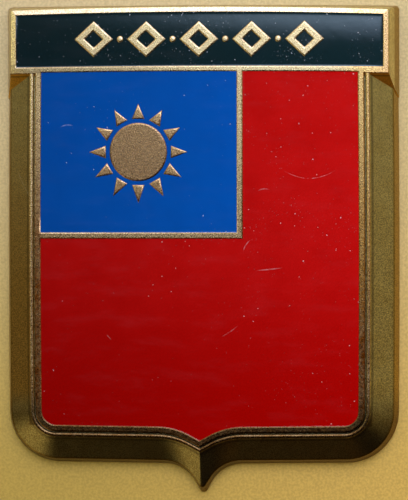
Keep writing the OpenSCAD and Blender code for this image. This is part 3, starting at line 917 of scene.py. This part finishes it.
def noise(at, per_mm, detail, out=0, roughness=0.5):
    fed = {"Vector": at, "Scale": per_mm, "Detail": detail, "Roughness": roughness}
    return node(at.tree, "TexNoise", fed, out)


# %% Node groups
def group(name, gives, takes=()):
    """A new node group with one output. Returns the group, its inputs as values, and its output node."""
    made = bpy.data.node_groups.new(name, "ShaderNodeTree")
    for socket, way in [*((socket, "INPUT") for socket in takes), (gives, "OUTPUT")]:
        kind = "Vector" if socket in ("Place", "Middle", "Normal") else "Float"
        made.interface.new_socket(socket, in_out=way, socket_type="NodeSocket" + kind)
    got = [Value(socket) for _, socket in zip(takes, made.nodes.new("NodeGroupInput").outputs)]
    return made, got, made.nodes.new("NodeGroupOutput")


def use(used, at, **inputs):
    """Puts a group into a tree, with the place that it works from, and returns what it gives."""
    return node(at.tree, "Group", {"Place": at, **inputs}, node_tree=used)


# %% [markdown]
# ## Shared effects
# Place is the spot on the object in millimetres. Specks are small round spots at random, and streaks are
# specks drawn out into hairlines. Grime is noise cut to a mask. A mark is one thin bow of given place,
# length and bend, for a scratch that can be pointed at. Grain is a bump too fine to be modelled.

# %% Place, specks, grime, streaks, single marks and grain
place, _, out = group("place", "Place")
put(out, 0, scaled(node(place, "TexCoord", {}, "Object"), 1 / MM))

specks, (at, per_mm, share, size), out = group("specks", "Mask", ["Place", "Per_mm", "Share", "Size"])
ragged = vectors("MULTIPLY_ADD", noise(at, 5.0, 1.0, "Color"), (0.3, 0.3, 0.3), at)
away = node(specks, "TexVoronoi", {"Vector": ragged, "Scale": per_mm}, "Distance")
chance, width, _ = parts(away.beside("Color"), "Color")
radius = (width.maths("POWER", 2.0) + 0.25) * size
put(out, 0, (1.0 - ranged(away / radius, 0.55, 1.0)) * chance.maths("LESS_THAN", share))

grime, (at, per_mm, low, high), out = group("grime", "Mask", ["Place", "Per_mm", "Low", "High"])
put(out, 0, ranged(noise(at, per_mm, 5.0, roughness=0.6), low, high))

streaks, (at, angle, per_mm, share), out = group("streaks", "Mask", ["Place", "Angle", "Per_mm", "Share"])
bent = vectors("MULTIPLY_ADD", noise(at, 0.06, 1.0, "Color"), (6.0, 6.0, 6.0), at)
drawn_out = vectors("MULTIPLY", spun(bent, angle), (0.045, 1.0, 1.0))
put(out, 0, use(specks, drawn_out, Per_mm=per_mm, Share=share, Size=0.07))

mark, (at, middle, angle, long_mm, wide_mm, bend), out = group(
    "mark", "Mask", ["Place", "Middle", "Angle", "Long_mm", "Wide_mm", "Bend"])
x, _, z = parts(spun(vectors("SUBTRACT", at, middle), angle))
across, along = (z - x * x * bend) / wide_mm, x / long_mm
broken = use(grime, at, Per_mm=1.5, Low=0.3, High=0.6)
put(out, 0, ranged(along * along + across * across, 1.0, 0.2) * broken)

grain, (at, per_mm, depth_mm), out = group("grain", "Normal", ["Place", "Per_mm", "Depth_mm"])
put(out, 0, node(grain, "Bump", {"Height": noise(at, per_mm, 3.0), "Distance": depth_mm * MM}))
print("groups:", [tree.name for tree in bpy.data.node_groups])


# %% A material and its place
def material(name):
    """A new material with its principled shader, the place in mm and that place's X, Y and Z."""
    made = bpy.data.materials.new(name)
    made.use_nodes = True
    at = node(made.node_tree, "Group", {}, node_tree=place)
    return made, made.node_tree.nodes["Principled BSDF"], at, parts(at)


def finish_with(shader, **inputs):
    """Joins or sets the shader's inputs. An underscore stands for the space in an input's name."""
    for key, value in inputs.items():
        put(shader, key.replace("_", " "), value)


# %% [markdown]
# ## Struck brass
# The brass is bare. Its raised flats are rubbed bright, and tarnish and dirt stay where nothing rubs: in
# the groove and on the sun. Light and shade are painted in as well: painted shade in the groove, on the
# lower raised flats, at the foot, on the left of the banner's lower rim and on the walls, a painted warm
# highlight on the lower right and a painted orange reflection on the banner's skirt. So the finish works
# out where on the body a point lies, then what has settled there and what light is painted there, then the
# colour. A painted picture could do the same, but would be painted again at each new size.

# %% Brass: where a point lies
brass, shader, at, (x, y, z) = material("worn_brass")
_, facing_y, facing_z = parts(node(at.tree, "NewGeometry", {}, "Normal"))
faces_front, faces_down = ranged(facing_y, 0.05, -0.05), ranged(facing_z, -0.3, -0.5)
on_top = ranged(y, FRONT + 0.24, FRONT + 0.1)
low_part, at_foot = ranged(z, 30.0, -14.0), ranged(z, -24.0, -31.0)
# The outer wall, the hollow's walls and the back are painted darker brown: painted shade
outer_wall_shade = ranged(y, BAND_Y - 0.2, BAND_Y)
# The groove holds dirt, and is painted darker as painted shade
groove_dirt_and_shade = ranged(abs(y - GROOVE_Y), 0.16, 0.04)
# How far a point lies out to a side, or down below LOW_START, whichever is more
LOW_START = -2.0
from_middle = either(abs(x), LOW_START - z)
bead_x = (FIELD_W + BEAD_IN + BEAD_OUT) / 2
on_bead = ranged(abs(from_middle - bead_x), 0.55, 0.4)
on_rim = on_bead * -0.9 + ranged(from_middle, 26.2, 27.4)
on_low_rim = ranged(abs(z - (FIELD_TOP + BANNER_RIM_W / 2)), 0.85, 0.65)
# The banner's skirt gets a painted orange reflection of the board
skirt_reflection = ranged(abs((y - FRONT) * SKIRT + z - FIELD_TOP), 0.4, 0.25) * faces_front * faces_down
from_sun = distance(at, (SUN_X, FRONT, SUN_Z))
on_sun = ranged(from_sun, SUN_R + 0.3, SUN_R) * faces_front
rays_end = RAY_FOOT_R + RAY_L + RAY_MORE
near_sun = ranged(from_sun, rays_end + 0.6, rays_end + 0.3)
print(f"brass: the bead runs {bead_x:.2f} mm out, the rays end {rays_end:.2f} mm from the sun's middle")

# %% Brass: what has settled there, and where light and shade are painted
blotch = use(grime, at, Per_mm=0.35, Low=0.35, High=0.72)
patina = use(grime, at, Per_mm=1.7, Low=0.36, High=0.64)
fine = use(grime, at, Per_mm=3.0, Low=0.4, High=0.7)
crud = use(grime, at, Per_mm=4.0, Low=0.5, High=0.62) * low_part
salt = noise(at, 6.0, 1.0)
below_banner = ranged(z, FIELD_TOP + 1.2, FIELD_TOP - 0.3, 0.1, 0.3)
# Tarnish, and painted shade that makes the lower part darker
tarnish_and_low_shade = (low_part * 0.7 + below_banner) * (on_rim * 0.4 + (blotch * 0.15 + 0.3))
tarnish_and_low_shade = tarnish_and_low_shade * (patina * 0.3 + 1.0)
# A painted warm highlight on the lower right, where light from the right falls
warm_light_right = ranged(x, 22.0, 27.5, 0.0, 0.45) * ranged(z, -20.0, 0.0)
# Painted shade on the left part of the banner's lower rim
left_rim_shade = on_low_rim * ranged(x, 2.0, -18.0, 0.0, 0.33)
browned = low_part * ranged(x, 10.0, -25.0, 0.2, 0.95) * ranged(at_foot, 0.0, 0.7, 1.0, 0.0)
# Painted shade at the foot, a little darker on the bead
foot_shade = at_foot * (on_bead * 0.22 + 0.72)
pits = either(use(specks, at, Per_mm=3.2, Share=0.2, Size=0.5) * 0.7,
              on_sun * ranged(salt, 0.38, 0.62, 0.15, 0.75))
scratch = use(mark, at, Middle=(-30.0, BAND_Y, 9.3), Angle=math.radians(-62), Long_mm=3.2, Wide_mm=0.1,
              Bend=0.02)
print("brass: nodes so far", len(at.tree.nodes))

# %% Brass: its colour
top = layered(
    (0.84, 0.57, 0.27),
    # tarnish, with painted shade lower down
    (tarnish_and_low_shade, (0.26, 0.06, 0.004)),
    # painted warm highlight
    (warm_light_right, (0.85, 0.4, 0.06)),
    # painted shade
    (left_rim_shade, (0.0, 0.0, 0.0)),
    (near_sun * 0.6, (0.44, 0.2, 0.08)),
    (crud * 0.55, (0.05, 0.02, 0.01)))
flanks = layered(
    (0.68, 0.58, 0.26),
    (blotch * 0.5, (0.47, 0.35, 0.12)),
    (browned, (0.56, 0.35, 0.09)),
    # painted shade on the walls
    (outer_wall_shade, (0.38, 0.25, 0.06)),
    # painted orange reflection on the skirt
    (skirt_reflection, (0.95, 0.52, 0.09)))
colour = layered(
    flanks,
    (on_top, top),
    # painted shade at the foot
    (foot_shade, (0.08, 0.045, 0.015)),
    (fine * 0.25, (0.25, 0.11, 0.025)))
grainy = ranged(salt, 0.3, 0.7, 1.0, -1.0) * (low_part * 0.2 + 0.22)
colour = layered(
    # dirt and painted shade in the groove
    scaled(colour, grainy + 1.0),
    (groove_dirt_and_shade * 0.5, (0.05, 0.035, 0.02)),
    (pits * 0.75, (0.18, 0.08, 0.03)),
    (scratch * 0.6, (0.95, 0.85, 0.6)))
rough = ranged(on_top, 0.0, 1.0, 0.28, 0.25) + fine * 0.1
finish_with(shader, Base_Color=colour, Metallic=1.0, Roughness=rough,
            Normal=use(grain, at, Per_mm=7.0, Depth_mm=0.012))
dressed(struck, "struck_body", "brass", brass)


# %% [markdown]
# ## Glossy enamel
# Vitreous enamel is coloured glass, melted in its cell and stoned smooth. It shows its colour, which
# changes slowly over the cell, and a sharp reflection, broken by dust, hairlines and a few scuffs. Its
# colour is also painted brighter to the right and darker to the left, as painted light from the right.
# These enamels are opaque, so a glossy surface is enough and no glass is traced. One function makes all
# three.

# %% The enamels' finish
def enamel(name, high_colour, low_colour, dust_share, ripple, scuffs=()):
    """Glossy glass whose colour deepens towards the foot, and which is painted darker to the left and
    brighter to the right as painted light from the right, with dust in drifts and a faint ripple. Each
    scuff is given by its middle's x and z, angle, half length, half width and bend."""
    made, shader, at, (x, _, z) = material(name)
    cloud = use(grime, at, Per_mm=0.2, Low=0.3, High=0.75)
    haze = use(grime, vectors("MULTIPLY", at, (0.3, 1.0, 1.0)), Per_mm=0.5, Low=0.45, High=0.8)
    colour = layered(high_colour, (ranged(z, 5.0, -32.0), low_colour), (cloud * 0.35, low_colour))
    # Painted light: darker to the left and brighter to the right, as light from the right
    colour = scaled(colour, ranged(x, -45.0, 45.0, 0.7, 1.3))
    drifts = ranged(use(grime, at, Per_mm=0.13, Low=0.42, High=0.6), 0.0, 1.0, 0.3, 1.8)
    settled = ranged(x + z, -30.0, 50.0, 0.3, 2.8) * (drifts * dust_share)
    dust = either(use(specks, at, Per_mm=1.3, Share=settled, Size=0.27) * 0.6,
                  use(specks, at, Per_mm=3.2, Share=settled, Size=0.4) * 0.13)
    for mid_x, mid_z, angle, long_mm, wide_mm, bend in scuffs:
        middle = (mid_x, FRONT, mid_z)
        scuff = use(mark, at, Middle=middle, Angle=angle, Long_mm=long_mm, Wide_mm=wide_mm, Bend=bend)
        dust = either(dust, scuff * 0.17)
    hairlines = either(use(streaks, at, Angle=0.6, Per_mm=0.7, Share=0.25),
                       use(streaks, at, Angle=-0.9, Per_mm=0.6, Share=0.2))
    colour = layered(
        colour,
        (haze * 0.007, (0.5, 0.4, 0.45)),
        (hairlines * 0.1, (0.6, 0.55, 0.5)),
        (dust * 0.8, (0.75, 0.7, 0.7)))
    finish_with(shader, Base_Color=colour, Roughness=dust * 0.4 + 0.06,
                Normal=use(grain, at, Per_mm=0.35, Depth_mm=ripple))
    return made


black = enamel("black_enamel_gloss", (0.003, 0.012, 0.014), (0.003, 0.01, 0.011), dust_share=0.16,
               ripple=0.007)
blue = enamel("blue_enamel_gloss", (0.0, 0.058, 0.27), (0.0, 0.045, 0.22), dust_share=0.03, ripple=0.012,
              scuffs=[(1.5, -0.6, 0.4, 0.8, 0.12, 0.3), (-22.4, 19.2, 0.1, 1.2, 0.15, -0.2)])
red = enamel("red_enamel_gloss", (0.365, 0.003, 0.003), (0.25, 0.0, 0.0), dust_share=0.07, ripple=0.012,
             scuffs=[(11.8, -4.9, 0.1, 2.4, 0.13, 0.01), (7.9, -0.8, 1.0, 1.2, 0.12, -0.15),
                     (10.9, 8.5, 0.1, 1.1, 0.12, -0.2), (18.6, 10.25, 0.0, 4.8, 0.09, 0.07),
                     (5.2, -15.3, 0.6, 1.8, 0.08, 0.05)])
dressed(black_glaze, "banner_enamel", "black_enamel", black)
dressed(blue_glaze, "canton_enamel", "blue_enamel", blue)
dressed(red_glaze, "field_enamel", "red_enamel", red)


# %% [markdown]
# ## Hardware finishes
# The fixings behind the emblem are plain trade parts: turned brass studs and nuts, a zinc-plated strap and
# flat washers, spring washers of dark steel, soft solder and moulded rubber. They are dull and a little
# stained, which one function with a few numbers covers for every metal.

# %% Metals and rubber
def metal(name, colour, stain, rough, stain_share, per_mm, depth):
    """A dull metal with stains. It gives the material back."""
    made, shader, at, _ = material(name)
    stains = use(grime, at, Per_mm=0.5, Low=0.4, High=0.75)
    dots = use(specks, at, Per_mm=2.5, Share=0.15, Size=0.4)
    colour = layered(colour, (either(stains, dots) * stain_share, stain))
    finish_with(shader, Base_Color=colour, Metallic=1.0, Roughness=stains * 0.15 + rough,
                Normal=use(grain, at, Per_mm=per_mm, Depth_mm=depth))
    return made


# After the two colours come the roughness, how strongly the stains show, and the grain's fineness and depth
turned_brass = metal("turned_brass", (0.64, 0.48, 0.22), (0.3, 0.19, 0.07), 0.28, 0.7, 5.0, 0.01)
zinc = metal("dulled_zinc", (0.4, 0.405, 0.4), (0.22, 0.21, 0.19), 0.34, 0.6, 4.0, 0.012)
dark_steel = metal("dark_spring_steel", (0.25, 0.24, 0.23), (0.2, 0.12, 0.07), 0.38, 0.6, 5.0, 0.012)
grey_solder = metal("grey_solder", (0.38, 0.38, 0.36), (0.2, 0.19, 0.17), 0.42, 0.6, 1.5, 0.06)
rubber, shader, at, _ = material("black_rubber")
dusty = use(grime, at, Per_mm=0.8, Low=0.4, High=0.8)
finish_with(shader, Base_Color=layered((0.018, 0.018, 0.018), (dusty, (0.07, 0.066, 0.06))), Roughness=0.72,
            Normal=use(grain, at, Per_mm=6.0, Depth_mm=0.02))

# %% Each fixing gets its finish, by the last words of its node's name
FINISHES = {"stud": ("stud_brass", turned_brass), "nut": ("stud_brass", turned_brass),
            "solder": ("solder", grey_solder), "bar": ("zinc_steel", zinc), "pad": ("pad_rubber", rubber),
            "flat_washer": ("zinc_steel", zinc), "spring_washer": ("spring_steel", dark_steel)}
for cad_node, made in fixings.items():
    dressed(made, cad_node, *FINISHES[cad_node.split("_", 1)[1]])

# %% [markdown]
# ## Stage
# The emblem lies on a sand-coloured board, painted brighter above and to the right and darker below as
# painted light and shade. The board has a hole a little inside the emblem's outline, so light from behind
# still reaches the hollow back. Cameras behind the board see through it.

# %% The board
BOARD_Y, BOARD_R, HOLE_INSET = 0.05, 1500, 0.7
hole = shield(BACK_OUT - HOLE_INSET, BACK_TOP - HOLE_INSET)
far = hole / np.linalg.norm(hole, axis=1, keepdims=True) * BOARD_R
sheets = np.array([at_depth(mixed(hole, far, share), BOARD_Y) for share in (0, 0.01, 0.05, 0.2, 1)])
board = add_object("board", (sheets.reshape(-1, 3), ring_quads(len(sheets), len(hole)).tolist()))
if board.data.polygons[0].normal.y > 0:
    board.data.flip_normals()
print(f"board: {len(board.data.polygons)} faces")

# %% The board's paint
sand, shader, at, (x, _, z) = material("sand_board")
# Painted light and shade: the sand is painted brighter above and to the right and darker below
lit_rightwards = ranged(x, -36.0, 36.0)
high = layered((0.52, 0.395, 0.2), (lit_rightwards, (0.57, 0.43, 0.195)))
low = layered((0.4, 0.26, 0.05), (lit_rightwards, (0.56, 0.34, 0.07)))
mottle = use(grime, at, Per_mm=0.7, Low=0.3, High=0.8)
colour = layered(high, (ranged(z, 45.0, -45.0), low), (mottle * 0.1, (0.3, 0.2, 0.06)))
colour = scaled(colour, ranged(noise(at, 2.5, 3.0), 0.3, 0.7, 0.88, 1.12))
finish_with(shader, Base_Color=colour, Roughness=0.8, Specular_IOR_Level=0.2)
by_camera = node(at.tree, "LightPath", {}, "Is Camera Ray")
from_behind = node(at.tree, "NewGeometry", {}, "Backfacing") * by_camera
clear = node(at.tree, "BsdfTransparent", {})
surface = node(at.tree, "MixShader", {0: from_behind, 1: Value(shader.outputs[0]), 2: clear})
put(at.tree.nodes["Material Output"], "Surface", surface)
board.data.materials.append(sand)

# %% [markdown]
# ## Light
# Polished metal and glass show what is round them. In front hangs a light tent, a half sphere that the
# camera doesn't see and that casts no shadow, painted as the room must have been: dark and brown below, dim
# at both sides, bright above, with a cool window to the upper right. A picture of some room could be used
# instead, but each soft patch here can be moved to where a reflection needs it.

# %% The light tent
TENT_R, TENT_SIDES, TENT_RINGS = 450, 64, 16
lifts = np.arange(TENT_RINGS) / TENT_RINGS * math.pi / 2
rings = [at_depth(circle(0, 0, TENT_R * math.cos(lift), TENT_SIDES), -TENT_R * math.sin(lift))
         for lift in lifts]
cap = list(range((TENT_RINGS - 1) * TENT_SIDES, TENT_RINGS * TENT_SIDES))
tent = add_object("tent", (np.concatenate(rings), [*ring_quads(TENT_RINGS, TENT_SIDES).tolist(), cap]))
print(f"tent: {len(tent.data.polygons)} faces")

# %% What is painted on it
lit, shader, at, (x, _, z) = material("tent_light")
level = layered((0.125, 0.09, 0.04), (ranged(x, -300.0, 200.0), (0.27, 0.225, 0.11)))
above = ranged(z, 60.0, 330.0)
light = layered((0.01, 0.007, 0.003), (ranged(z, -200.0, 60.0), level), (above, (1.1, 1.1, 1.1)))
# Each patch has its middle, the radius of its even part, the radius where it ends, and its colour
PATCHES = [
    ((-80, -435, -40), 60, 170, (0.04, 0.022, 0.01)),
    ((-320, -180, -275), 120, 195, (0.95, 0.82, 0.4)),
    ((40, -40, -415), 30, 140, (0.3, 0.15, 0.04)),
    ((360, -235, -120), 80, 165, (0.26, 0.21, 0.095)),
    ((430, -70, 20), 50, 140, (0.4, 0.32, 0.15)),
    ((-430, -120, 100), 30, 110, (0.26, 0.25, 0.16)),
    ((-430, -130, -70), 20, 90, (0.08, 0.05, 0.015)),
    ((-245, -370, 75), 50, 115, (1.6, 1.9, 1.4)),
    ((30, -395, 200), 110, 190, (2.7, 3.2, 5.8)),
    ((-62, -430, 112), 20, 75, (0.6, 0.9, 1.2)),
    ((-22, -430, 128), 35, 98, (4.5, 6.0, 7.5))]
for middle, even_r, end_r, colour in PATCHES:
    light = layered(light, (ranged(distance(at, middle), end_r, even_r), colour))
glow = node(at.tree, "Emission", {"Color": light})
put(at.tree.nodes["Material Output"], "Surface", glow)
at.tree.nodes.remove(shader)
tent.data.materials.append(lit)
tent.visible_camera = tent.visible_shadow = False
print(f"tent: {len(PATCHES)} patches")

# %% The world and two lamps, a soft one in front that makes no reflection, and a small one behind
world = bpy.data.worlds.new("pale_room")
world.use_nodes = True
world.node_tree.nodes["Background"].inputs["Color"].default_value = (0.8, 0.81, 0.82, 1)
bpy.context.scene.world = world
sky = in_scene("soft_sky", bpy.data.lights.new("soft_sky", "SUN"))
sky.data.energy, sky.data.angle = 2.1, math.radians(70)
sky.rotation_euler = Vector(-toward(math.radians(10), math.radians(30))).to_track_quat("-Z", "Y").to_euler()
sky.visible_glossy = False
lamp = in_scene("rear_lamp", bpy.data.lights.new("rear_lamp", "AREA"))
lamp.data.energy, lamp.data.size = 2.5, 0.25
lamp.location = np.array([150, 350, 300]) * MM
lamp.rotation_euler = (-lamp.location).to_track_quat("-Z", "Y").to_euler()
print(f"lights: {sky.name} {sky.data.energy}, {lamp.name} {lamp.data.energy}")
